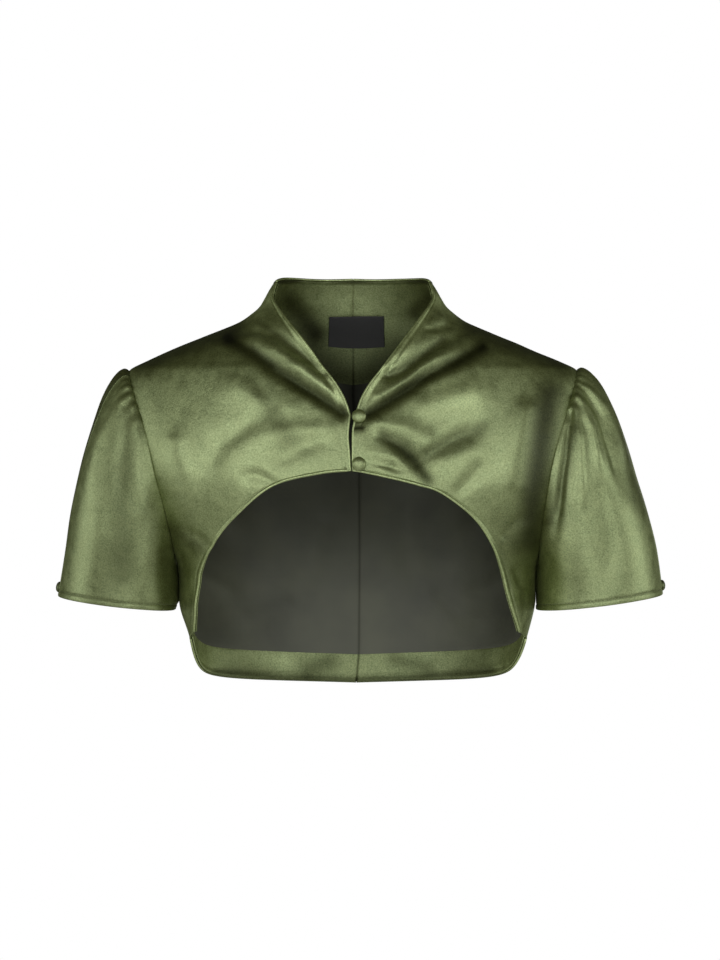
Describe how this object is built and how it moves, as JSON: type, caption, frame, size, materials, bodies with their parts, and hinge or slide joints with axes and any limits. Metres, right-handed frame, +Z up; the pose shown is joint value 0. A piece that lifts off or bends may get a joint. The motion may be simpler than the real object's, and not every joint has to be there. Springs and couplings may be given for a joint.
{
  "type": "bolero jacket",
  "caption": "Short, worn bolero jacket in lustrous pile cloth, with a stand collar, V neck, gathered short sleeves, a round cut-away front and covered buttons.",
  "frame": {"origin": "midway between the two side neck points, where the jacket hangs from the shoulders and neck of whoever wears it", "axes": "+Z up, -Y to the front, +X to the wearer's left"},
  "size_m": [0.5185, 0.2208, 0.344],
  "materials": {
    "main_cloth": "olive green satin velvet",
    "lining": "dark grey green plain lining",
    "covered_button": "button covered in the main cloth",
    "label": "plain black woven label"
  },
  "bodies": {
    "root": {"front_left": "main_cloth", "front_right": "main_cloth", "back_left": "main_cloth", "back_right": "main_cloth", "facing_front_left": "main_cloth", "facing_front_right": "main_cloth", "facing_neck_left": "main_cloth", "facing_neck_right": "main_cloth", "facing_hem_left": "main_cloth", "facing_hem_right": "main_cloth", "lining_left": "lining", "lining_right": "lining", "sleeve_left_front": "main_cloth", "sleeve_left_back": "main_cloth", "sleeve_right_front": "main_cloth", "sleeve_right_back": "main_cloth", "button_front_upper": "covered_button", "button_front_lower": "covered_button", "button_sleeve_left": "covered_button", "button_sleeve_right": "covered_button", "label": "label"}
  },
  "joints": []
}
